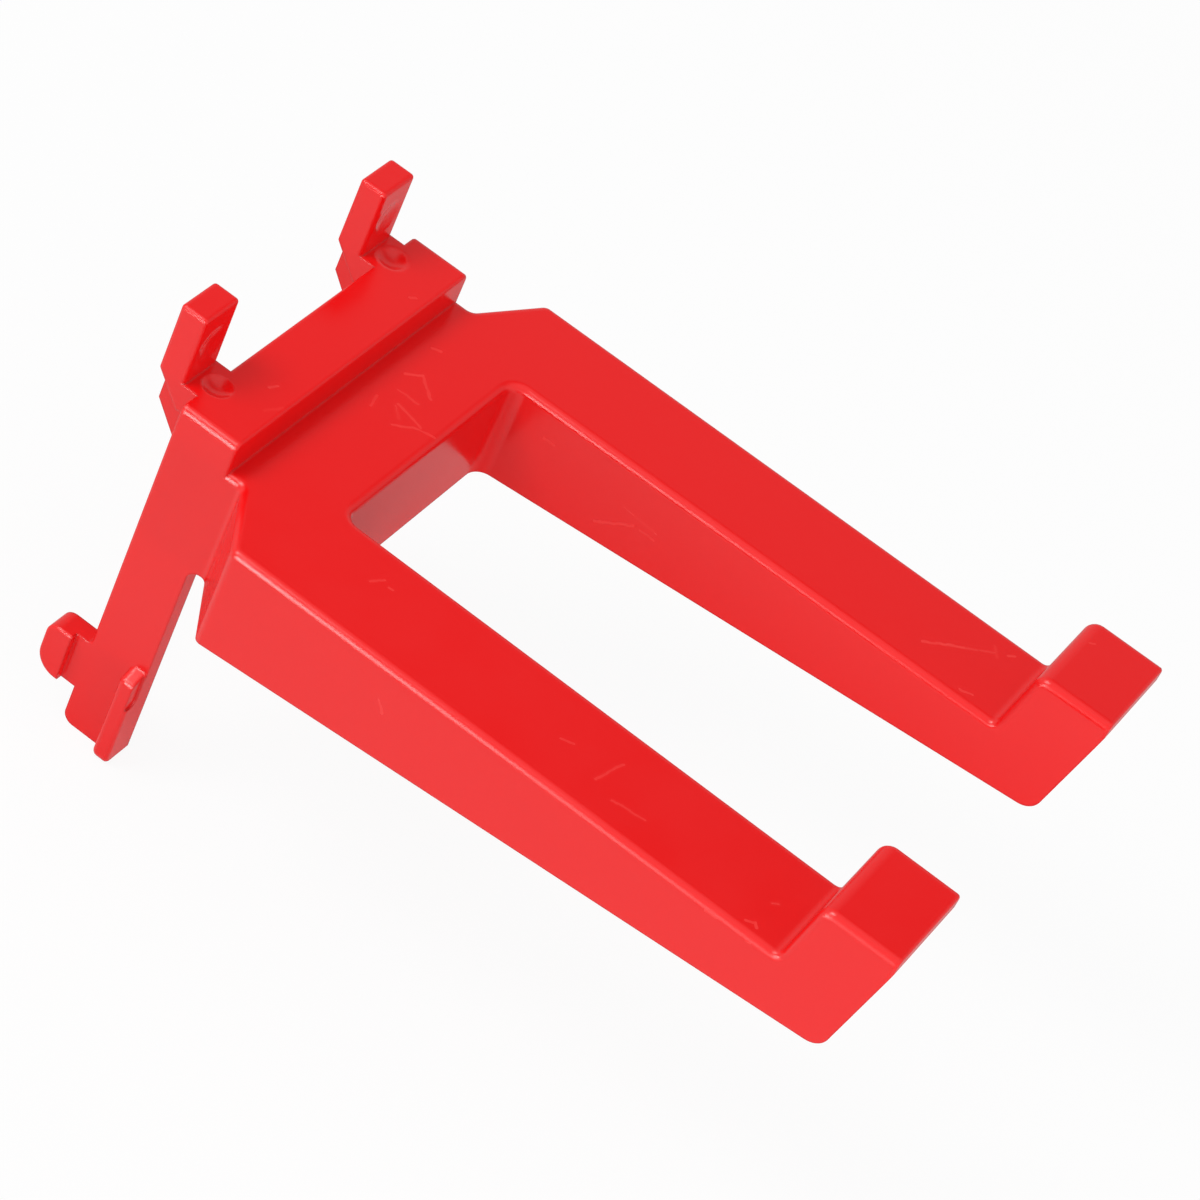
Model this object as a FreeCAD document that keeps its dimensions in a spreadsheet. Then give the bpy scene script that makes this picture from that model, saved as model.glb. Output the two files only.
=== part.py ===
"""Garage utility hook: one red injection moulding that clips into a perforated tool panel.

The panel has square holes on a regular pitch. Two lugs hook over it from the upper holes, and two
sprung side plates snap a latch head into the holes one row below. Two broad prongs with turned-up
lips reach forward from the back bar and carry the load. The moulding is open underneath.

Axes: +X to the right seen from the front, +Y into the panel, +Z up. The origin lies on the face
that bears on the panel, midway between the centres of the two upper holes. Millimetres.
"""
import FreeCAD, Part
import Sketcher
import math
import os

Vector = FreeCAD.Vector

doc = FreeCAD.newDocument("garage_utility_hook")

# The driving sizes: name, millimetres, what it is
SIZES = [
    ("hole_pitch", 38.0, "panel hole to hole, both ways"),
    ("hole_size", 10.0, "side of a square panel hole"),
    ("hole_play", 0.3, "bar top below the upper edge of its hole"),
    ("cheek_play", 0.05, "side plate to the outer edge of its hole"),
    ("latch_play", 0.6, "latch foot above the lower edge of its hole"),
    ("panel_slot", 1.85, "slot that takes the sheet of the panel"),
    ("wall", 2.5, "nominal wall of the moulding"),
    ("web", 2.0, "inner webs and the ribs under the lugs"),
    ("rim_round", 1.0, "rounding of the top edges along the sides"),
    ("edge_round", 0.4, "rounding of the front and back edges"),
    ("bar_depth", 8.1, "back bar, front to back"),
    ("step_height", 4.35, "back bar above the deck"),
    ("body_height", 19.95, "bar top to the underside at the side plates"),
    ("flare_start", 10.3, "back plane to where the deck widens"),
    ("flare_end", 15.55, "back plane to where it has its full width"),
    ("prong_span", 66.3, "outer side of one prong to the other"),
    ("root_depth", 20.75, "back plane to the root of the gap"),
    ("flare_round", 1.2, "corners of the flare, seen from above"),
    ("root_round", 2.0, "corner at the root of the gap"),
    ("gap_root", 35.5, "gap between the prongs at the root"),
    ("gap_nose", 36.8, "gap between the prongs at the nose"),
    ("reach", 101.8, "back plane to the front of the lips"),
    ("lip_depth", 11.55, "foot of the lip behind its front"),
    ("fold_round", 1.0, "fold between the deck and the lip"),
    ("lip_height", 9.8, "lip above the deck"),
    ("lip_lean", 1.6, "top of the lip's inner face ahead of its foot"),
    ("lip_round", 1.8, "inner top edge of the lip"),
    ("nose_flat", 2.1, "upright part of the nose, below the lip top"),
    ("nose_rake", 2.7, "lower edge of the nose behind the lip front"),
    ("nose_round", 2.5, "lower edge of the nose"),
    ("nose_height", 7.3, "deck to the underside at the nose"),
    ("lug_inset", 1.1, "lug centre inboard of the hole centre"),
    ("lug_width", 6.5, "hooking lug, side to side"),
    ("lug_thickness", 3.65, "hooking lug, front to back"),
    ("lug_height", 9.75, "hooking lug above the back bar"),
    ("lug_round", 0.5, "rounding at the top of the lug"),
    ("neck_height", 4.0, "plate part of the lug's neck"),
    ("rib_height", 9.55, "bar top to the foot of the rib under the lug"),
    ("rib_heel", 5.75, "bar top to the heel of that rib"),
    ("rib_inset", 0.35, "back of that rib ahead of the lug's back"),
    ("dish_radius", 3.0, "ball shape of the dish before each lug"),
    ("dish_depth", 0.7, "dish below the bar top"),
    ("dish_place", 0.7, "back plane to the middle of the dish"),
    ("dish_soften", 1.0, "rounding of the dish's rim"),
    ("thumb_radius", 8.0, "ball shape of the hollow in the lug's front"),
    ("thumb_depth", 0.34, "that hollow behind the lug's front"),
    ("thumb_soften", 2.0, "rounding of that hollow's rim"),
    ("thumb_height", 4.7, "middle of that hollow above the bar top"),
    ("cheek_length", 52.8, "bar top to the foot of the side plate"),
    ("foot_round", 1.5, "back corner at the foot of the side plate"),
    ("notch_round", 1.6, "corner of side plate and underside"),
    ("latch_height", 7.5, "latch head, top to bottom"),
    ("latch_shoulder", 2.05, "back plane to the shoulder of the latch"),
    ("latch_reach", 5.5, "back plane to the end of the latch head"),
    ("latch_lead", 3.0, "rounded lower end of the latch head"),
    ("latch_round", 1.7, "rounded upper end of the latch head"),
    ("barb", 1.1, "latch head proud of the side plate"),
    ("tab_width", 2.35, "finger tab, front to back"),
    ("tab_height", 14.75, "finger tab, top to foot"),
    ("tab_proud", 2.1, "finger tab out from the side plate"),
    ("tab_slope", 1.2, "fall of the tab's top"),
    ("tab_round", 1.1, "lower outer corner of the tab"),
    ("tab_soften", 0.8, "rounding of the tab's top and back edge"),
    ("foot_soften", 0.5, "rounding of the front edge of the tab and its plate's foot"),
    ("tab_set", 0.25, "upper part of the tab behind the plate's front"),
    ("tab_flush", 9.6, "foot to where the tab's front is flush with the plate's"),
]
# Places that several features share, worked out from the sizes
PLACES = [
    ("bar_top", "Sizes.hole_size / 2 - Sizes.hole_play"),
    ("deck", "Places.bar_top - Sizes.step_height"),
    ("underside", "Places.bar_top - Sizes.body_height"),
    ("nose_foot", "Places.deck - Sizes.nose_height"),
    ("fold_reach", "Sizes.reach - Sizes.lip_depth"),
    ("nose_set", "Sizes.reach - Sizes.nose_rake"),
    ("lip_top", "Places.deck + Sizes.lip_height"),
    ("rise", "(Places.nose_foot - Places.underside) / (Places.nose_set - Sizes.bar_depth)"),
    ("half_body", "(Sizes.hole_pitch + Sizes.hole_size) / 2 - Sizes.cheek_play"),
    ("half_span", "Sizes.prong_span / 2"),
    ("flare", "(Sizes.flare_end - Sizes.flare_start) / (Places.half_span - Places.half_body)"),
    ("lug_place", "Sizes.hole_pitch / 2 - Sizes.lug_inset"),
    ("lug_back", "Sizes.panel_slot + Sizes.lug_thickness"),
    ("latch_foot", "Sizes.latch_play - Sizes.hole_pitch - Sizes.hole_size / 2"),
    ("latch_top", "Places.latch_foot + Sizes.latch_height"),
    ("cheek_foot", "Places.bar_top - Sizes.cheek_length"),
    ("tab_shoulder", "Places.cheek_foot + Sizes.tab_height - Sizes.tab_slope"),
    ("prong_middle", "(Places.half_span + Sizes.gap_nose / 2) / 2"),
    ("prong_width", "Places.half_span - Sizes.gap_nose / 2"),
    ("core_front", "Sizes.root_depth - Sizes.wall"),
    ("flare_wall", "Sizes.wall * (sqrt(1 + Places.flare ^ 2) - Places.flare)"),
    ("core_width", "(Places.half_body - Sizes.wall - 1.5 * Sizes.web) / 2"),
    ("cell", "(Places.fold_reach + Sizes.wall - Sizes.root_depth - 2 * Sizes.web) / 3"),
]

sheet = doc.addObject("Spreadsheet::Sheet", "Sizes")
for row, (alias, value, note) in enumerate(SIZES, start=1):
    sheet.set(f"A{row}", note)
    sheet.set(f"B{row}", str(value))
    sheet.setAlias(f"B{row}", alias)
doc.recompute()

places = doc.addObject("App::VarSet", "Places")
for name, formula in PLACES:
    places.addProperty("App::PropertyFloat", name, "Places")
    places.setExpression(name, formula)
    doc.recompute()

body = doc.addObject("PartDesign::Body", "Hook")
body.Label = "utility_hook"


def worth(formula):
    """The number that a formula of the sizes comes to."""
    return float(places.evalExpression(formula))


def size(alias):
    """A driving size."""
    return float(sheet.get(alias))


def origin_plane(role):
    """One of the body's own origin planes."""
    return next(f for f in body.Origin.OriginFeatures if f.Role == role)


def new_sketch(name, role, shift=("0", "0", "0")):
    """A sketch on an origin plane, with its origin shifted in the plane and off it."""
    sketch = body.newObject("Sketcher::SketchObject", name)
    sketch.AttachmentSupport = [(origin_plane(role), "")]
    sketch.MapMode = "FlatFace"
    for axis, formula in zip("xyz", shift):
        if formula != "0":
            sketch.setExpression(f"AttachmentOffset.Base.{axis}", formula)
    doc.recompute()
    return sketch


def hold(sketch, kind, geometry, vertex, formula):
    """Dimension a point from the sketch's origin by a formula."""
    number = sketch.addConstraint(Sketcher.Constraint(kind, -1, 1, geometry, vertex, worth(formula)))
    sketch.setExpression(f"Constraints[{number}]", formula)


def corner_arc(before, corner, after, radius):
    """The arc that rounds a corner, and whether it runs against the outline's direction."""
    to_before = (before - corner).normalize()
    to_after = (after - corner).normalize()
    half = to_before.getAngle(to_after) / 2
    centre = corner + (to_before + to_after).normalize() * (radius / math.sin(half))
    start = corner + to_before * (radius / math.tan(half)) - centre
    end = corner + to_after * (radius / math.tan(half)) - centre
    backwards = start.cross(end).z < 0
    if backwards:
        start, end = end, start
    circle = Part.Circle(centre, Vector(0, 0, 1), radius)
    arc = Part.ArcOfCircle(circle, math.atan2(start.y, start.x), math.atan2(end.y, end.x))
    return arc, backwards


def outline(sketch, corners):
    """A closed outline. Each corner is two formulas, and a third for its radius if it is rounded."""
    points = [Vector(worth(c[0]), worth(c[1]), 0) for c in corners]
    count = len(points)
    arcs = {}
    for i, corner in enumerate(corners):
        if len(corner) == 3:
            arcs[i] = corner_arc(points[i - 1], points[i], points[(i + 1) % count], worth(corner[2]))
    ends = []
    for i in range(count):
        if i in arcs:
            arc, backwards = arcs[i]
            pair = (arc.EndPoint, arc.StartPoint) if backwards else (arc.StartPoint, arc.EndPoint)
            ends.append(pair)
        else:
            ends.append((points[i], points[i]))
    first = sketch.GeometryCount
    for i in range(count):
        line = Part.LineSegment(ends[i][1], ends[(i + 1) % count][0])
        sketch.addGeometry(line, False)
    for i, corner in enumerate(corners):
        line_in, line_out = first + (i - 1) % count, first + i
        if i not in arcs:
            sketch.addConstraint(Sketcher.Constraint("Coincident", line_in, 2, line_out, 1))
            hold(sketch, "DistanceX", line_out, 1, corner[0])
            hold(sketch, "DistanceY", line_out, 1, corner[1])
            continue
        arc, backwards = arcs[i]
        rounding = sketch.addGeometry(arc, False)
        enter, leave = (2, 1) if backwards else (1, 2)
        sketch.addConstraint(Sketcher.Constraint("Tangent", line_in, 2, rounding, enter))
        sketch.addConstraint(Sketcher.Constraint("Tangent", line_out, 1, rounding, leave))
        number = sketch.addConstraint(Sketcher.Constraint("Radius", rounding, arc.Radius))
        sketch.setExpression(f"Constraints[{number}]", corner[2])
        virtual = sketch.addGeometry(Part.Point(points[i]), True)
        sketch.addConstraint(Sketcher.Constraint("PointOnObject", virtual, 1, line_in))
        sketch.addConstraint(Sketcher.Constraint("PointOnObject", virtual, 1, line_out))
        hold(sketch, "DistanceX", virtual, 1, corner[0])
        hold(sketch, "DistanceY", virtual, 1, corner[1])
    doc.recompute()


def pad(name, sketch, length, both_ways=False):
    """Add a sketch's extrusion, along its normal or evenly to both sides."""
    feature = body.newObject("PartDesign::Pad", name)
    feature.Profile = sketch
    feature.Midplane = both_ways
    feature.setExpression("Length", length)
    return finished(feature, adds=True)


def pocket(name, sketch, length=None):
    """Cut a sketch's extrusion evenly to both sides, or right through all against its normal."""
    feature = body.newObject("PartDesign::Pocket", name)
    feature.Profile = sketch
    if length:
        feature.Midplane = True
        feature.setExpression("Length", length)
    else:
        feature.Type = "ThroughAll"
    return finished(feature, adds=False)


def finished(feature, adds):
    """Recompute a feature and check that it changed the solid the way it should."""
    before = feature.BaseFeature.Shape.Volume if feature.BaseFeature else 0.0
    doc.recompute()
    grew = feature.Shape.Volume > before
    if not feature.isValid() or grew != adds or abs(feature.Shape.Volume - before) < 1e-6:
        raise RuntimeError(f"{feature.Name} did not change the solid as it should")
    return feature


def fillet(name, radius, test):
    """Round the edges of the latest solid that pass a test."""
    base = body.Tip
    picked = [f"Edge{i}" for i, edge in enumerate(base.Shape.Edges, start=1) if test(edge)]
    feature = body.newObject("PartDesign::Fillet", name)
    feature.Base = (base, picked)
    feature.setExpression("Radius", radius)
    doc.recompute()
    if not feature.isValid() or not feature.Shape.isValid():
        raise RuntimeError(f"{name} failed on {len(picked)} edges")
    return feature


def dimple(name, role, shift, radius, depth, pole):
    """Cut a shallow round hollow, the cap of a ball about the sketch's origin, up or down its V axis."""
    sketch = new_sketch(name + "Cap", role, shift)
    lid = f"{radius} - 1.2 * {depth}"
    ball, lean = worth(radius), math.acos(worth(lid) / worth(radius))
    start, end = (-math.pi / 2, lean - math.pi / 2) if pole < 0 else (math.pi / 2 - lean, math.pi / 2)
    arc = Part.ArcOfCircle(Part.Circle(Vector(), Vector(0, 0, 1), ball), start, end)
    tip, rim = (1, 2) if pole < 0 else (2, 1)
    edge = arc.EndPoint if pole < 0 else arc.StartPoint
    middle = Vector(0, edge.y, 0)
    sketch.addGeometry(arc, False)
    sketch.addGeometry(Part.LineSegment(edge, middle), False)
    sketch.addGeometry(Part.LineSegment(middle, Vector(0, pole * ball, 0)), False)
    sketch.addConstraint(Sketcher.Constraint("Coincident", 0, 3, -1, 1))
    sketch.addConstraint(Sketcher.Constraint("PointOnObject", 0, tip, -2))
    sketch.addConstraint(Sketcher.Constraint("Coincident", 0, rim, 1, 1))
    sketch.addConstraint(Sketcher.Constraint("Horizontal", 1))
    sketch.addConstraint(Sketcher.Constraint("PointOnObject", 1, 2, -2))
    sketch.addConstraint(Sketcher.Constraint("Coincident", 1, 2, 2, 1))
    sketch.addConstraint(Sketcher.Constraint("Coincident", 2, 2, 0, tip))
    number = sketch.addConstraint(Sketcher.Constraint("Radius", 0, ball))
    sketch.setExpression(f"Constraints[{number}]", radius)
    hold(sketch, "DistanceY", 1, 2, f"{pole} * ({lid})")
    doc.recompute()
    feature = body.newObject("PartDesign::Groove", name)
    feature.Profile = sketch
    feature.ReferenceAxis = (sketch, ["V_Axis"])
    feature.Angle = 360
    return finished(feature, adds=False)


def near(a, b):
    """Whether two lengths are the same."""
    return abs(a - b) < 1e-4


# Deck, bar and lips: the side view, as wide as the prongs
side_view = new_sketch("SideView", "YZ_Plane")
outline(side_view, [
    ("0", "Places.bar_top"),
    ("-Sizes.bar_depth", "Places.bar_top"),
    ("-Sizes.bar_depth", "Places.deck"),
    ("-Places.fold_reach", "Places.deck", "Sizes.fold_round"),
    ("-Places.fold_reach - Sizes.lip_lean", "Places.lip_top", "Sizes.lip_round"),
    ("-Sizes.reach", "Places.lip_top"),
    ("-Sizes.reach", "Places.lip_top - Sizes.nose_flat"),
    ("-Places.nose_set", "Places.nose_foot", "Sizes.nose_round"),
    ("-Sizes.bar_depth", "Places.underside"),
    ("0", "Places.underside"),
])
pad("SideViewPad", side_view, "Sizes.prong_span", both_ways=True)

# The flanks: narrow behind the flare, cut away right through
flanks = new_sketch("Flanks", "XY_Plane", ("0", "0", "Places.lip_top + Sizes.wall"))
for side in ("", "-"):
    outline(flanks, [
        (f"{side}Places.half_body", "Sizes.wall"),
        (f"{side}Places.half_body", "-Sizes.flare_start", "Sizes.flare_round"),
        (f"{side}Places.half_span", "-Sizes.flare_end", "Sizes.flare_round"),
        (f"{side}Places.half_span", "-Sizes.flare_end - Sizes.wall"),
        (f"{side}(Places.half_span + Sizes.wall)", "-Sizes.flare_end - Sizes.wall"),
        (f"{side}(Places.half_span + Sizes.wall)", "Sizes.wall"),
    ])
pocket("FlanksCut", flanks)

# The gap between the prongs, a little wider towards the nose
gap = new_sketch("Gap", "XY_Plane", ("0", "0", "Places.lip_top + Sizes.wall"))
outline(gap, [
    ("Sizes.gap_root / 2", "-Sizes.root_depth", "Sizes.root_round"),
    ("-Sizes.gap_root / 2", "-Sizes.root_depth", "Sizes.root_round"),
    ("-Sizes.gap_nose / 2", "-Sizes.reach"),
    ("-Sizes.gap_nose / 2", "-Sizes.reach - Sizes.wall"),
    ("Sizes.gap_nose / 2", "-Sizes.reach - Sizes.wall"),
    ("Sizes.gap_nose / 2", "-Sizes.reach"),
])
pocket("GapCut", gap)


def on_rim(edge):
    """Whether an edge runs along the sides of the deck, the bar and the lips, or round the gap."""
    box = edge.BoundBox
    across = box.YLength < 1e-3 and box.ZLength < 1e-3
    upright = box.XLength < 1e-3 and box.YLength < 1e-3
    if across:
        return near(box.YMax, -size("root_depth")) and near(box.ZMax, worth("Places.deck"))
    return not upright and box.ZMin > worth("Places.nose_foot + Sizes.nose_round")


def in_front(edge):
    """Whether an edge runs round the front of the bar, or round the front of a lip."""
    box = edge.BoundBox
    bar = near(box.YMax, -size("bar_depth")) and box.ZMax > worth("Places.deck") + 1e-3
    lip = near(box.YMax, -size("reach")) and box.ZMax > worth("Places.lip_top - Sizes.nose_flat") + 1e-3
    return box.YLength < 1e-3 and (bar or lip)


def on_back(edge):
    """Whether an edge runs round the back of the bar, or down the back of a side plate."""
    box = edge.BoundBox
    top = near(box.ZMax, worth("Places.bar_top")) and box.ZLength < 1e-3
    side = near(max(-box.XMin, box.XMax), worth("Places.half_body"))
    above = box.ZMin > worth("Places.latch_top") - 1e-3
    return near(box.YMax, 0) and box.YLength < 1e-3 and (top or (side and above))


def on_lug(edge):
    """Whether an edge runs up, over and down the sides of a lug's plate."""
    box = edge.BoundBox
    place = max(-box.XMin, box.XMax)
    side = near(abs(place - worth("Places.lug_place")), size("lug_width") / 2)
    flush = near(box.ZMax, worth("Places.bar_top")) and box.ZLength < 1e-3
    return box.XLength < 1e-3 and side and not flush and box.YMax > size("panel_slot") - 1e-3


def on_latch(edge):
    """Whether an edge bounds the outer face of a latch head, apart from its shoulder."""
    box = edge.BoundBox
    outer = near(max(-box.XMin, box.XMax), worth("Places.half_body + Sizes.barb"))
    return box.XLength < 1e-3 and outer and box.YMax > size("latch_shoulder") + 1e-3


def on_tab(edge):
    """Whether an edge runs round the back of a finger tab."""
    box = edge.BoundBox
    outside = max(-box.XMin, box.XMax) > worth("Places.half_body") + 1e-3
    back = near(box.YMax, size("tab_width") - size("bar_depth"))
    return outside and back and box.YLength < 1e-3 and box.ZMax < worth("Places.underside")


def on_foot(edge):
    """Whether an edge is the lower front edge of a side plate and its tab."""
    box = edge.BoundBox
    low = near(box.ZMax, worth("Places.cheek_foot")) and near(box.YMax, -size("bar_depth"))
    return low and box.YLength < 1e-3 and box.ZLength < 1e-3


def on_dish(edge):
    """Whether an edge is the rim of a dish in the bar."""
    box = edge.BoundBox
    level = near(box.ZMin, worth("Places.bar_top")) and box.ZLength < 1e-3
    return edge.isClosed() and level and box.XLength > 1e-3


def on_thumb(edge):
    """Whether an edge is the rim of a hollow in a lug."""
    box = edge.BoundBox
    flat = near(box.YMin, size("panel_slot")) and box.YLength < 1e-3
    return edge.isClosed() and flat and box.ZLength > 1e-3


fillet("RimRound", "Sizes.rim_round", on_rim)
fillet("FrontRound", "Sizes.edge_round", in_front)

# The body is cored from below: four cells with three webs between them
cores = new_sketch("BodyCores", "XY_Plane", ("0", "0", "Places.deck - Sizes.wall"))
for side in ("", "-"):
    outline(cores, [
        (f"{side}Sizes.web / 2", "-Sizes.wall"),
        (f"{side}(Sizes.web / 2 + Places.core_width)", "-Sizes.wall"),
        (f"{side}(Sizes.web / 2 + Places.core_width)", "-Places.core_front"),
        (f"{side}Sizes.web / 2", "-Places.core_front"),
    ])
    outline(cores, [
        (f"{side}(1.5 * Sizes.web + Places.core_width)", "-Sizes.wall"),
        (f"{side}(Places.half_body - Sizes.wall)", "-Sizes.wall"),
        (f"{side}(Places.half_body - Sizes.wall)", "-Sizes.flare_start - Places.flare_wall"),
        (f"{side}(Places.half_span - Sizes.wall)", "-Sizes.flare_end - Places.flare_wall"),
        (f"{side}(Places.half_span - Sizes.wall)", "-Places.core_front"),
        (f"{side}(1.5 * Sizes.web + Places.core_width)", "-Places.core_front"),
    ])
pocket("BodyCoresCut", cores)

bar_core = new_sketch("BarCore", "XY_Plane", ("0", "0", "Places.bar_top - Sizes.wall"))
outline(bar_core, [
    ("Places.half_body - Sizes.wall", "-Sizes.wall"),
    ("Sizes.wall - Places.half_body", "-Sizes.wall"),
    ("Sizes.wall - Places.half_body", "Sizes.wall - Sizes.bar_depth"),
    ("Places.half_body - Sizes.wall", "Sizes.wall - Sizes.bar_depth"),
])
pocket("BarCoreCut", bar_core)

# Right side from here on: the cells under one prong, the last one up into the lip
cells = new_sketch("ProngCells", "YZ_Plane", ("0", "0", "Places.prong_middle"))
for number in (0, 1):
    back = f"-Sizes.root_depth - {number} * (Places.cell + Sizes.web)"
    outline(cells, [
        (back, "Places.underside - Sizes.wall"),
        (back, "Places.deck - Sizes.wall"),
        (f"{back} - Places.cell", "Places.deck - Sizes.wall"),
        (f"{back} - Places.cell", "Places.underside - Sizes.wall"),
    ])
outline(cells, [
    ("-Sizes.root_depth - 2 * (Places.cell + Sizes.web)", "Places.underside - Sizes.wall"),
    ("-Sizes.root_depth - 2 * (Places.cell + Sizes.web)", "Places.deck - Sizes.wall"),
    ("-Places.fold_reach - Sizes.wall", "Places.deck - Sizes.wall"),
    ("-Places.fold_reach - Sizes.lip_lean - Sizes.wall", "Places.lip_top - Sizes.wall"),
    ("Sizes.wall - Sizes.reach", "Places.lip_top - Sizes.wall"),
    ("Sizes.wall - Places.nose_set", "Places.nose_foot"),
    ("Sizes.wall - Places.nose_set", "Places.underside - Sizes.wall"),
])
prong_cells = pocket("ProngCellsCut", cells, "Places.prong_width - 2 * Sizes.wall")

# The side plate with its latch head, one thickness of plate
cheek = new_sketch("Cheek", "YZ_Plane", ("0", "0", "Places.half_body - Sizes.wall"))
outline(cheek, [
    ("0", "Places.underside + Sizes.wall"),
    ("-Sizes.bar_depth - Sizes.wall", "Places.underside + Sizes.wall"),
    ("-Sizes.bar_depth - Sizes.wall", "Places.underside + Sizes.wall * Places.rise"),
    ("-Sizes.bar_depth", "Places.underside", "Sizes.notch_round"),
    ("-Sizes.bar_depth", "Places.cheek_foot"),
    ("0", "Places.cheek_foot", "Sizes.foot_round"),
    ("0", "Places.latch_foot"),
    ("Sizes.latch_reach", "Places.latch_foot", "Sizes.latch_lead"),
    ("Sizes.latch_reach", "Places.latch_top", "Sizes.latch_round"),
    ("0", "Places.latch_top"),
])
cheek_plate = pad("CheekPlate", cheek, "Sizes.wall")

barb = new_sketch("Barb", "YZ_Plane", ("0", "0", "Places.half_body"))
outline(barb, [
    ("Sizes.latch_shoulder", "Places.latch_foot"),
    ("Sizes.latch_reach", "Places.latch_foot", "Sizes.latch_lead"),
    ("Sizes.latch_reach", "Places.latch_top", "Sizes.latch_round"),
    ("Sizes.latch_shoulder", "Places.latch_top"),
])
latch_barb = pad("LatchBarb", barb, "Sizes.barb")

# The finger tab down the front edge of the side plate
tab = new_sketch("Tab", "XZ_Plane", ("0", "0", "Sizes.bar_depth - Sizes.tab_width"))
outline(tab, [
    ("Places.half_body", "Places.cheek_foot"),
    ("Places.half_body + Sizes.tab_proud", "Places.cheek_foot", "Sizes.tab_round"),
    ("Places.half_body + Sizes.tab_proud", "Places.tab_shoulder", "Sizes.tab_soften"),
    ("Places.half_body", "Places.cheek_foot + Sizes.tab_height"),
])
finger_tab = pad("FingerTab", tab, "Sizes.tab_width")

# The lug: a neck through the hole and a plate up behind the panel, with a rib under it
lug = new_sketch("Lug", "YZ_Plane", ("0", "0", "Places.lug_place"))
outline(lug, [
    ("-Sizes.wall / 2", "Places.bar_top"),
    ("Sizes.panel_slot", "Places.bar_top"),
    ("Sizes.panel_slot", "Places.bar_top + Sizes.lug_height", "Sizes.lug_round"),
    ("Places.lug_back", "Places.bar_top + Sizes.lug_height", "Sizes.lug_round"),
    ("Places.lug_back", "Places.bar_top", "Sizes.lug_round"),
    ("Sizes.panel_slot", "Places.bar_top - Sizes.neck_height", "Sizes.lug_round"),
    ("-Sizes.wall / 2", "Places.bar_top - Sizes.neck_height"),
])
lug_plate = pad("LugPlate", lug, "Sizes.lug_width", both_ways=True)

rib = new_sketch("LugRib", "YZ_Plane", ("0", "0", "Places.lug_place"))
outline(rib, [
    ("-Sizes.wall / 2", "Places.bar_top - Sizes.web"),
    ("Places.lug_back - Sizes.rib_inset", "Places.bar_top - Sizes.rib_inset"),
    ("Places.lug_back - Sizes.rib_inset", "Places.bar_top - Sizes.rib_heel"),
    ("Sizes.panel_slot", "Places.bar_top - Sizes.rib_height"),
    ("-Sizes.wall / 2", "Places.bar_top - Sizes.rib_height"),
])
lug_rib = pad("LugRibPad", rib, "Sizes.web", both_ways=True)

# A round dish in the bar before the lug, and a flat hollow like a thumb's in the lug's front
dish = dimple("Dish", "YZ_Plane", (
    "-Sizes.dish_place", "Places.bar_top + Sizes.dish_radius - Sizes.dish_depth", "Places.lug_place"),
    "Sizes.dish_radius", "Sizes.dish_depth", -1)
thumb = dimple("Thumb", "XY_Plane", (
    "Places.lug_place", "Sizes.panel_slot + Sizes.thumb_depth - Sizes.thumb_radius",
    "Places.bar_top + Sizes.thumb_height"), "Sizes.thumb_radius", "Sizes.thumb_depth", 1)

# The left side is the mirror image
mirror = body.newObject("PartDesign::Mirrored", "LeftSide")
mirror.Originals = [
    prong_cells, cheek_plate, latch_barb, finger_tab, lug_plate, lug_rib, dish, thumb]
mirror.MirrorPlane = (origin_plane("YZ_Plane"), [""])
body.Tip = mirror
doc.recompute()

# The tabs' rounded front edges, then the upper part of each tab set back a little
fillet("FootRound", "Sizes.foot_soften", on_foot)
set_back = new_sketch("TabSetBack", "XZ_Plane", ("0", "0", "Sizes.bar_depth"))
low, high = "Places.cheek_foot + Sizes.tab_flush", "Places.tab_shoulder + Sizes.tab_width"
for side in ("", "-"):
    inner = f"{side}(Places.half_body + Sizes.tab_set)"
    outer = f"{side}(Places.half_body + Sizes.tab_proud + Sizes.wall)"
    outline(set_back, [(inner, high), (inner, low, "Sizes.tab_round"), (outer, low), (outer, high)])
pocket("TabStep", set_back, "2 * Sizes.tab_set")

# The finer rounding of both sides
fillet("BackRound", "Sizes.edge_round", on_back)
fillet("LugRound", "Sizes.lug_round", on_lug)
fillet("LatchRound", "Sizes.edge_round", on_latch)
fillet("TabRound", "Sizes.tab_soften", on_tab)
fillet("DishRound", "Sizes.dish_soften", on_dish)
fillet("ThumbRound", "Sizes.thumb_soften", on_thumb)

# Nothing is written unless every object is sound
for item in doc.Objects:
    if "Invalid" in item.State or "Error" in item.State or not item.isValid():
        raise RuntimeError(f"{item.Name} is not valid: {item.State}")
if body.Shape.isNull() or not body.Shape.isValid() or len(body.Shape.Solids) != 1:
    raise RuntimeError("the moulding is not one sound solid")

os.makedirs("parts", exist_ok=True)
body.Shape.exportStep(f"parts/{body.Label}.step")
print(f"{body.Label}: {body.Shape.Volume / 1000:.2f} cm3, {len(body.Shape.Faces)} faces")
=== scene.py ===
"""Finish, studio and camera for the garage utility hook.

The hook is one injection moulding, so its shape comes whole from the frame. This script gives it
the moulded plastic with its fine skin and its handling marks, and sets it on a pale studio floor.
"""
import math

import bpy
from mathutils import Euler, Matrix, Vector


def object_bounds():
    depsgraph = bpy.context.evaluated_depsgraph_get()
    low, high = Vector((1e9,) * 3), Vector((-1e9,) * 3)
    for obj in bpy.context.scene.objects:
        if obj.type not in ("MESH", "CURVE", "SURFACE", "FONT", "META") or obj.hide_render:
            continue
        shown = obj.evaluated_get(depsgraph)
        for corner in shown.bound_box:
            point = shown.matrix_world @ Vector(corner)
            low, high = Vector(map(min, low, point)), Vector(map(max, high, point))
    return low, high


bl_info = {
    "name": "Garage Utility Hook",
    "version": (1, 0, 0),
    "blender": (4, 5, 0),
    "location": "View3D > Sidebar > Hook",
    "description": "Dresses the moulded tool-panel hook and sets its studio",
    "category": "Object",
}

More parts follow.
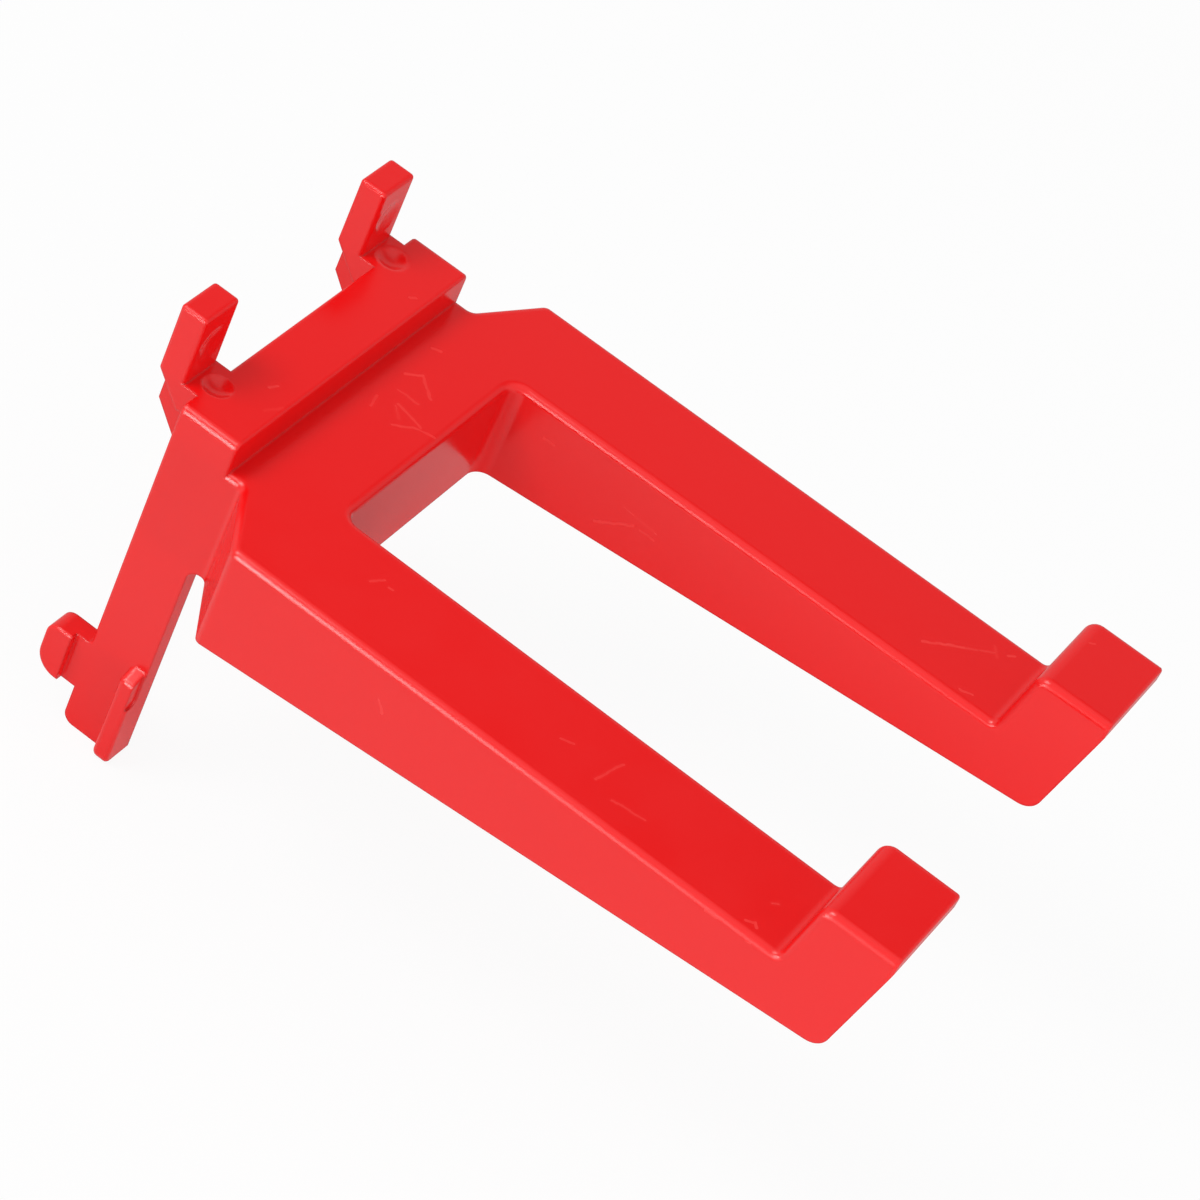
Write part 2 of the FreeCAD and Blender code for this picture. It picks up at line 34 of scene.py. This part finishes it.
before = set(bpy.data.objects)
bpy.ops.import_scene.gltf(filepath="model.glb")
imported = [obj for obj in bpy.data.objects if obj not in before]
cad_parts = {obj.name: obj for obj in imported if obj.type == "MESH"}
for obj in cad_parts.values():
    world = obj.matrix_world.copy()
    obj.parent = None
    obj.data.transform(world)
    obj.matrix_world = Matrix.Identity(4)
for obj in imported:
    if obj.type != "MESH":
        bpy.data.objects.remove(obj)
CAD_LOW, CAD_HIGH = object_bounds()
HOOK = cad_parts["utility_hook"]
MM = 0.001

# Heights and side planes of the moulding that carry handling marks, in mm
DECK, BAR_TOP, LIP_TOP = 0.35, 4.7, 10.15
NEAR_SIDE, INNER_SIDE = CAD_LOW.x / MM, 17.9

# Handling marks: start and end in mm, strength from faint to deep. Level faces give X and Y, side
# faces give Y and Z
MARKS_ON_DECK = (
    ((7.5, -11.5), (9, -13), 0.7),
    ((9, -13), (6.5, -16), 0.5),
    ((4.5, -12.5), (4.5, -15.5), 0.4),
    ((2.5, -14), (1.5, -18), 0.5),
    ((-1, -15.5), (1, -18), 0.5),
    ((1, -18), (1.5, -20), 0.4),
    ((2, -14), (0.5, -15.5), 0.3),
    ((-0.5, -12), (1.5, -11.5), 0.4),
    ((14, -11), (14.5, -12), 0.6),
    ((-24, -28.5), (-22.5, -29.5), 0.4),
    ((-23, -30.5), (-23, -31), 0.5),
    ((-26, -56.5), (-25.5, -58), 0.4),
    ((-28, -62.5), (-25.5, -63), 0.4),
    ((-25.5, -63), (-23.5, -63.5), 0.4),
    ((-29, -65.5), (-28.5, -69.5), 0.4),
    ((-27, -86), (-26.5, -86.5), 0.4),
    ((-31.5, -85), (-31, -86), 0.6),
    ((-31, -86), (-31.5, -86.5), 0.7),
    ((23, -77.5), (24.5, -79), 0.6),
    ((24.5, -79), (26.5, -81.5), 0.7),
    ((26.5, -81.5), (29, -84.5), 0.4),
    ((30, -84), (28.5, -85), 0.3),
    ((30, -86), (30.5, -86.5), 0.7),
    ((20, -84.5), (20.5, -86), 0.6),
)
MARKS_ON_INNER_SIDE = (
    ((-27, -4), (-28.5, -4), 0.5),
    ((-37, -10), (-41.5, -7), 0.4),
    ((-39.5, -5.5), (-44.5, -6), 0.2),
    ((-42.5, -7), (-44.5, -7), 0.3),
)
MARKS_ON_NEAR_SIDE = (
    ((-38, -4.5), (-39, -6), 0.4),
    ((-81, -0.5), (-82.5, -0.5), 0.3),
    ((-86.5, -0.5), (-87, -0.5), 0.3),
)
MARKS_ON_LIP = (
    ((28.5, -93.5), (29, -94), 0.4),
)
MARKS_ON_BAR = (
    ((-13, -4.5), (-12, -5), 0.5),
    ((-16.5, -6.5), (-14.5, -7.5), 0.2),
    ((14, -6), (14.5, -6.5), 0.4),
)

# A mark wanders this far to each side of its straight line, in waves of this length, in mm
MARK_WANDER, MARK_WAVE = 0.25, 1.43

# The gloss: how much the clear and the hazy patches differ from the plain skin, the patches' size
# in mm, which part of the noise counts as patch, and how much duller a mark is
CLEARER, HAZIER, MARK_DULLER = 0.03, 0.04, 0.3
HAZE_PATCH = 11.1
HAZE_FROM, HAZE_TO = 0.35, 0.65

# The skin's waves: their height, and how much of it shows
WAVE_HEIGHT, WAVE_SHARE = 0.02 * MM, 0.35

# Rays that feel out how near an edge is
EDGE_RAYS = 4


def linear(hex_colour):
    """An sRGB hex colour as linear red, green, blue and alpha."""
    channels = [int(hex_colour[i:i + 2], 16) / 255 for i in (1, 3, 5)]
    return [c / 12.92 if c <= 0.04045 else ((c + 0.055) / 1.055) ** 2.4 for c in channels] + [1.0]


class HookFinish(bpy.types.PropertyGroup):
    """The moulded plastic."""
    colour: bpy.props.StringProperty(
        name="Colour", description="Red of the plastic, as sRGB hex", default="#E70B0D")
    mark_colour: bpy.props.StringProperty(
        name="Mark colour", description="Bruised plastic in a handling mark, as sRGB hex",
        default="#F53C38")
    roughness: bpy.props.FloatProperty(
        name="Roughness", description="Dullness of the clean moulded skin", default=0.2, min=0.0, max=1.0)
    ior: bpy.props.FloatProperty(
        name="IOR", description="Refractive index of the plastic", default=1.5, min=1.0, max=2.5)
    ripple: bpy.props.FloatProperty(
        name="Ripple", description="Spacing of the soft waves in the skin", default=0.0025,
        min=0.0001, unit="LENGTH")
    edge: bpy.props.FloatProperty(
        name="Edge", description="Softness of the edges that the mould leaves crisp", default=0.0004,
        min=0.0, unit="LENGTH")
    mark_width: bpy.props.FloatProperty(
        name="Mark width", description="Width of a handling mark", default=0.00036, min=0.0,
        unit="LENGTH")


class StudioSettings(bpy.types.PropertyGroup):
    """Floor, lamps and camera."""
    sky: bpy.props.FloatProperty(
        name="Sky", description="Strength of the light from the left and from above", default=0.9,
        min=0.0)
    dim_low: bpy.props.FloatProperty(
        name="Dim side, low", description="Strength of the light from the right, near the horizon",
        default=0.5, min=0.0)
    dim_high: bpy.props.FloatProperty(
        name="Dim side, high", description="Strength of the light from the right, higher up",
        default=0.15, min=0.0)
    top_power: bpy.props.FloatProperty(
        name="Top lamp", description="Power of the soft box overhead", default=2.35, min=0.0,
        unit="POWER")
    fill_power: bpy.props.FloatProperty(
        name="Fill lamp", description="Power of the low lamp at the left and in front", default=0.23,
        min=0.0, unit="POWER")
    strip_glow: bpy.props.FloatProperty(
        name="Strip lamp", description="Strength of the reflected strip, at its dim front end",
        default=0.52, min=0.0)
    paper: bpy.props.StringProperty(
        name="Paper", description="White of the paper on the floor, as sRGB hex", default="#E4E4E4")
    floor_size: bpy.props.FloatProperty(
        name="Floor size", description="Side of the square floor", default=4.0, min=0.1, unit="LENGTH")


def add_node(tree, kind, settings=None, **sockets):
    """Adds one node, sets its properties and fills its sockets with values or links."""
    node = tree.nodes.new(kind)
    for name, value in (settings or {}).items():
        setattr(node, name, value)
    for name, value in sockets.items():
        key = int(name[1:]) if name[1:].isdigit() else name.replace("_", " ")
        if isinstance(value, bpy.types.NodeSocket):
            tree.links.new(value, node.inputs[key])
        else:
            node.inputs[key].default_value = value
    return node


def new_material(name):
    """An empty node material and its tree."""
    material = bpy.data.materials.new(name)
    material.use_nodes = True
    material.node_tree.nodes.clear()
    return material, material.node_tree


def ray_kinds(tree):
    """Light Path's outputs, and whether a ray comes straight or through glass from the camera."""
    path = add_node(tree, "ShaderNodeLightPath").outputs
    seen = add_node(
        tree, "ShaderNodeMath", settings={"operation": "MAXIMUM"},
        _0=path["Is Camera Ray"], _1=path["Is Transmission Ray"])
    return path, seen.outputs["Value"]


def mark_group(width):
    """A node group that has a mark's depth along its line and fades to 0 at this width."""
    tree = bpy.data.node_groups.new("handling_mark", "ShaderNodeTree")
    for name, kind in (("Place", "Vector"), ("Start", "Vector"), ("End", "Vector"), ("Depth", "Float")):
        tree.interface.new_socket(name, in_out="INPUT", socket_type=f"NodeSocket{kind}")
    tree.interface.new_socket("Mark", in_out="OUTPUT", socket_type="NodeSocketFloat")
    given = add_node(tree, "NodeGroupInput").outputs
    away = add_node(
        tree, "ShaderNodeVectorMath", settings={"operation": "SUBTRACT"},
        _0=given["Place"], _1=given["Start"])
    line = add_node(
        tree, "ShaderNodeVectorMath", settings={"operation": "SUBTRACT"},
        _0=given["End"], _1=given["Start"])
    along = add_node(
        tree, "ShaderNodeVectorMath", settings={"operation": "DOT_PRODUCT"},
        _0=away.outputs["Vector"], _1=line.outputs["Vector"])
    length = add_node(
        tree, "ShaderNodeVectorMath", settings={"operation": "DOT_PRODUCT"},
        _0=line.outputs["Vector"], _1=line.outputs["Vector"])
    share = add_node(
        tree, "ShaderNodeMath", settings={"operation": "DIVIDE", "use_clamp": True},
        _0=along.outputs["Value"], _1=length.outputs["Value"])
    foot = add_node(
        tree, "ShaderNodeVectorMath", settings={"operation": "SCALE"},
        _0=line.outputs["Vector"], Scale=share.outputs["Value"])
    gap = add_node(
        tree, "ShaderNodeVectorMath", settings={"operation": "DISTANCE"},
        _0=away.outputs["Vector"], _1=foot.outputs["Vector"])
    fade = add_node(
        tree, "ShaderNodeMapRange", settings={"interpolation_type": "SMOOTHSTEP"},
        Value=gap.outputs["Value"], From_Min=0.0, From_Max=width, To_Min=given["Depth"], To_Max=0.0)
    add_node(tree, "NodeGroupOutput", Mark=fade.outputs["Result"])
    return tree


def on_level_face(marks, height):
    """Marks on a level face, with their ends as points in space."""
    return [((*start, height), (*end, height), depth) for start, end, depth in marks]


def on_side_face(marks, side):
    """Marks on a side face, with their ends as points in space."""
    return [((side, *start), (side, *end), depth) for start, end, depth in marks]


def handling_marks(tree, place, finish):
    """How marked the plastic is at a place on the moulding, from 0 to the deepest mark there."""
    noise = add_node(tree, "ShaderNodeTexNoise", Vector=place, Scale=1 / MARK_WAVE)
    pushed = add_node(
        tree, "ShaderNodeVectorMath", settings={"operation": "MULTIPLY_ADD"},
        _0=noise.outputs["Color"], _1=(2 * MARK_WANDER,) * 3, _2=place)
    wandering = add_node(
        tree, "ShaderNodeVectorMath", settings={"operation": "SUBTRACT"},
        _0=pushed.outputs["Vector"], _1=(MARK_WANDER,) * 3)
    marks = on_level_face(MARKS_ON_DECK, DECK)
    marks += on_level_face(MARKS_ON_BAR, BAR_TOP)
    marks += on_level_face(MARKS_ON_LIP, LIP_TOP)
    marks += on_side_face(MARKS_ON_INNER_SIDE, INNER_SIDE)
    marks += on_side_face(MARKS_ON_NEAR_SIDE, NEAR_SIDE)
    group = mark_group(finish.mark_width / MM)
    deepest = 0.0
    for start, end, depth in marks:
        mark = add_node(
            tree, "ShaderNodeGroup", settings={"node_tree": group},
            Place=wandering.outputs["Vector"], Start=start, End=end, Depth=depth)
        deepest = add_node(
            tree, "ShaderNodeMath", settings={"operation": "MAXIMUM"},
            _0=deepest, _1=mark.outputs["Mark"]).outputs["Value"]
    return deepest


def moulded_plastic(finish):
    """Red polypropylene from a polished mould: a smooth skin with clear, slightly soft highlights."""
    material, tree = new_material("red_moulded_polypropylene")
    coordinates = add_node(tree, "ShaderNodeTexCoord")
    place = add_node(
        tree, "ShaderNodeVectorMath", settings={"operation": "SCALE"},
        _0=coordinates.outputs["Object"], Scale=1 / MM).outputs["Vector"]
    marks = handling_marks(tree, place, finish)
    colour = add_node(
        tree, "ShaderNodeMix", settings={"data_type": "RGBA"},
        _0=marks, _6=linear(finish.colour), _7=linear(finish.mark_colour))

    # Handling leaves hazy patches about as wide as a thumb, which blur a highlight as it crosses them
    haze = add_node(tree, "ShaderNodeTexNoise", Vector=place, Scale=1 / HAZE_PATCH, Detail=4.0)
    dull = add_node(
        tree, "ShaderNodeMapRange", Value=haze.outputs["Fac"], From_Min=HAZE_FROM, From_Max=HAZE_TO,
        To_Min=finish.roughness - CLEARER, To_Max=finish.roughness + HAZIER)
    rough = add_node(
        tree, "ShaderNodeMath", settings={"operation": "MULTIPLY_ADD"},
        _0=marks, _1=MARK_DULLER, _2=dull.outputs["Result"])

    # Soft waves from the mould, too shallow to see but for the wander they give a highlight. The
    # edges that the mould leaves crisp are softened in the shading alone
    skin = add_node(tree, "ShaderNodeTexNoise", Vector=place, Scale=MM / finish.ripple)
    edges = add_node(tree, "ShaderNodeBevel", settings={"samples": EDGE_RAYS}, Radius=finish.edge)
    bump = add_node(
        tree, "ShaderNodeBump", Height=skin.outputs["Fac"], Strength=WAVE_SHARE,
        Distance=WAVE_HEIGHT, Normal=edges.outputs["Normal"])
    shader = add_node(
        tree, "ShaderNodeBsdfPrincipled",
        Base_Color=colour.outputs[2], Roughness=rough.outputs["Value"], IOR=finish.ior,
        Normal=bump.outputs["Normal"])
    add_node(tree, "ShaderNodeOutputMaterial", Surface=shader.outputs["BSDF"])
    return material


class OBJECT_OT_dress_hook(bpy.types.Operator):
    """Give the hook its moulded plastic"""
    bl_idname = "object.dress_hook"
    bl_label = "Dress the hook"

    def execute(self, context):
        material = moulded_plastic(context.scene.hook_finish)
        HOOK.data.materials.clear()
        HOOK.data.materials.append(material)
        return {"FINISHED"}


# The photograph's camera, solved from the hook's own corners: place in metres, turn in degrees,
# lens and sensor in mm
CAMERA_PLACE = Vector((-359.5, -142.25, 322.3)) * MM
CAMERA_TURN = (45.674, -19.468, -57.073)
CAMERA_LENS, CAMERA_SENSOR = 129.86, 36.0
CAMERA_NEAR = 10 * MM

# The soft box overhead: its place from the middle of the hook, in metres, and its square side
TOP_OFFSET, TOP_SIDE = (-0.32, 0.40, 0.62), 0.3

# The strength at which floor and backdrop show as plain white
WHITE = 1.0

# The soft light falls off towards the right, between these shares of the way over, and the dim
# side gets darker between these shares of the way up
FALL_START, FALL_END = 0.1, 0.7
DARK_START, DARK_END = 0.60, 0.70

# The strip that the side edges mirror: its ends, its lower and upper side, and the length along
# which its glow grows by a factor of e
STRIP_BESIDE, STRIP_FROM, STRIP_TO = -160 * MM, -125 * MM, 43 * MM
STRIP_LOW, STRIP_HIGH = -28 * MM, 58 * MM
STRIP_GROWTH = 48 * MM

# The low lamp that only lights, at the left and in front
FILL_PLACE = (-120 * MM, -320 * MM, 0)

# The floor is nearly all glow to the camera, mostly glow in a reflection, and matt to the light. The
# reflected glow falls off from left to right under the hook: painted shade for the hook's shadow in
# reflections
CAMERA_GLOW, MIRROR_GLOW = 0.92, 0.7
MIRROR_LEFT, MIRROR_PAINTED_SHADE = WHITE, 0.3
MIRROR_FROM, MIRROR_TO = -45 * MM, -15 * MM


def white_paper(studio):
    """Matt white paper that stays white to the camera and keeps a faint shadow, with painted shade under
    the hook in reflections.
    """
    material, tree = new_material("white_paper")
    path, seen = ray_kinds(tree)
    direct = add_node(
        tree, "ShaderNodeMath", settings={"operation": "MULTIPLY"}, _0=seen, _1=CAMERA_GLOW)
    share = add_node(
        tree, "ShaderNodeMath", settings={"operation": "MULTIPLY_ADD"},
        _0=path["Is Glossy Ray"], _1=MIRROR_GLOW, _2=direct.outputs["Value"])
    matt = add_node(tree, "ShaderNodeBsdfDiffuse", Color=linear(studio.paper))
    spot = add_node(tree, "ShaderNodeNewGeometry")
    over = add_node(tree, "ShaderNodeSeparateXYZ", Vector=spot.outputs["Position"])
    # Painted shade: the glow seen in reflections dims under the hook, standing in for its shadow on the
    # floor
    painted_shade = add_node(
        tree, "ShaderNodeMapRange", Value=over.outputs["X"], From_Min=MIRROR_FROM, From_Max=MIRROR_TO,
        To_Min=MIRROR_LEFT, To_Max=MIRROR_PAINTED_SHADE)
    strength = add_node(
        tree, "ShaderNodeMix", _0=path["Is Glossy Ray"], _2=WHITE, _3=painted_shade.outputs["Result"])
    glow = add_node(
        tree, "ShaderNodeEmission", Color=linear("#FFFFFF"), Strength=strength.outputs[0])
    mixed = add_node(
        tree, "ShaderNodeMixShader", _0=share.outputs["Value"], _1=matt.outputs["BSDF"],
        _2=glow.outputs["Emission"])
    add_node(tree, "ShaderNodeOutputMaterial", Surface=mixed.outputs["Shader"])
    return material


def studio_world(studio):
    """A white backdrop to the camera, and soft light that falls off to the right for the hook."""
    world = bpy.data.worlds.new("studio")
    world.use_nodes = True
    tree = world.node_tree
    tree.nodes.clear()
    way = add_node(tree, "ShaderNodeTexCoord")
    over = add_node(tree, "ShaderNodeSeparateXYZ", Vector=way.outputs["Generated"])
    dim = add_node(
        tree, "ShaderNodeMapRange", Value=over.outputs["Z"], From_Min=DARK_START, From_Max=DARK_END,
        To_Min=studio.dim_low, To_Max=studio.dim_high)
    light = add_node(
        tree, "ShaderNodeMapRange", settings={"interpolation_type": "SMOOTHSTEP"},
        Value=over.outputs["X"], From_Min=FALL_START, From_Max=FALL_END,
        To_Min=studio.sky, To_Max=dim.outputs["Result"])
    _, seen = ray_kinds(tree)
    strength = add_node(
        tree, "ShaderNodeMix", _0=seen, _2=light.outputs["Result"], _3=WHITE)
    back = add_node(
        tree, "ShaderNodeBackground", Color=linear("#FFFFFF"), Strength=strength.outputs[0])
    add_node(tree, "ShaderNodeOutputWorld", Surface=back.outputs["Background"])
    return world


def soft_lamp(name, place, target, width, height, power):
    """A rectangular soft box that faces a target and doesn't show to the camera."""
    lamp = bpy.data.lights.new(name, "AREA")
    lamp.shape = "RECTANGLE"
    lamp.size = width
    lamp.size_y = height
    lamp.energy = power
    holder = bpy.data.objects.new(name, lamp)
    holder.location = place
    holder.rotation_euler = (Vector(target) - Vector(place)).to_track_quat("-Z", "Y").to_euler()
    holder.visible_camera = False
    bpy.context.scene.collection.objects.link(holder)
    return holder


def grow_along(lamp, length):
    """Lets a strip's glow grow by the same factor with each step, toward the panel's end."""
    lamp.use_nodes = True
    tree = lamp.node_tree
    tree.nodes.clear()
    spot = add_node(tree, "ShaderNodeNewGeometry")
    split = add_node(tree, "ShaderNodeSeparateXYZ", Vector=spot.outputs["Parametric"])
    turns = add_node(
        tree, "ShaderNodeMath", settings={"operation": "MULTIPLY_ADD"},
        _0=split.outputs["X"], _1=-length / STRIP_GROWTH, _2=length / STRIP_GROWTH)
    growth = add_node(
        tree, "ShaderNodeMath", settings={"operation": "EXPONENT"}, _0=turns.outputs["Value"])
    glow = add_node(tree, "ShaderNodeEmission", Strength=growth.outputs["Value"])
    add_node(tree, "ShaderNodeOutputLight", Surface=glow.outputs["Emission"])


def lay_floor(studio):
    """The square floor under the hook's lowest point."""
    half = studio.floor_size / 2
    corners = [(-half, -half), (half, -half), (half, half), (-half, half)]
    mesh = bpy.data.meshes.new("floor")
    mesh.from_pydata([(x, y, CAD_LOW.z) for x, y in corners], [], [(0, 1, 2, 3)])
    mesh.materials.append(white_paper(studio))
    floor = bpy.data.objects.new("floor", mesh)
    bpy.context.scene.collection.objects.link(floor)


def hang_lamps(studio):
    """The soft box overhead, the strip that only shows in reflections and the lamp that only lights."""
    middle = (CAD_LOW + CAD_HIGH) / 2
    soft_lamp("top_box", middle + Vector(TOP_OFFSET), middle, TOP_SIDE, TOP_SIDE, studio.top_power)
    length, height = STRIP_TO - STRIP_FROM, STRIP_HIGH - STRIP_LOW
    place = Vector((STRIP_BESIDE, (STRIP_FROM + STRIP_TO) / 2, (STRIP_LOW + STRIP_HIGH) / 2))
    strip = soft_lamp(
        "side_strip", place, place + Vector((1, 0, 0)), length, height,
        math.pi * length * height * studio.strip_glow)
    strip.visible_diffuse = False
    grow_along(strip.data, length)
    fill = soft_lamp("side_fill", FILL_PLACE, middle, 2 * height, height, studio.fill_power)
    fill.visible_glossy = False


def place_camera():
    """The camera of the photograph."""
    camera = bpy.data.cameras.new("photo_camera")
    camera.lens = CAMERA_LENS
    camera.sensor_width = CAMERA_SENSOR
    camera.clip_start = CAMERA_NEAR
    holder = bpy.data.objects.new("photo_camera", camera)
    holder.location = CAMERA_PLACE
    holder.rotation_euler = Euler([math.radians(a) for a in CAMERA_TURN], "XYZ")
    bpy.context.scene.collection.objects.link(holder)
    bpy.context.scene.camera = holder


class SCENE_OT_set_studio(bpy.types.Operator):
    """Lay the pale floor, hang the lamps and place the camera"""
    bl_idname = "scene.set_hook_studio"
    bl_label = "Set the studio"

    def execute(self, context):
        studio = context.scene.hook_studio
        context.scene.world = studio_world(studio)
        context.scene.view_settings.view_transform = "Standard"
        lay_floor(studio)
        hang_lamps(studio)
        place_camera()
        return {"FINISHED"}


class VIEW3D_PT_hook(bpy.types.Panel):
    """Lists the hook's finish and the studio"""
    bl_label = "Utility hook"
    bl_idname = "VIEW3D_PT_hook"
    bl_space_type = "VIEW_3D"
    bl_region_type = "UI"
    bl_category = "Hook"

    def draw(self, context):
        layout = self.layout
        for settings, operator in (
                (context.scene.hook_finish, OBJECT_OT_dress_hook),
                (context.scene.hook_studio, SCENE_OT_set_studio)):
            box = layout.box()
            for name in settings.bl_rna.properties.keys():
                if name not in ("rna_type", "name"):
                    box.prop(settings, name)
            box.operator(operator.bl_idname)


CLASSES = (HookFinish, StudioSettings, OBJECT_OT_dress_hook, SCENE_OT_set_studio, VIEW3D_PT_hook)


def register():
    for cls in CLASSES:
        bpy.utils.register_class(cls)
    bpy.types.Scene.hook_finish = bpy.props.PointerProperty(type=HookFinish)
    bpy.types.Scene.hook_studio = bpy.props.PointerProperty(type=StudioSettings)


def unregister():
    del bpy.types.Scene.hook_studio
    del bpy.types.Scene.hook_finish
    for cls in reversed(CLASSES):
        bpy.utils.unregister_class(cls)


def main():
    register()
    bpy.ops.object.dress_hook()
    bpy.ops.scene.set_hook_studio()


if __name__ == "__main__":
    main()
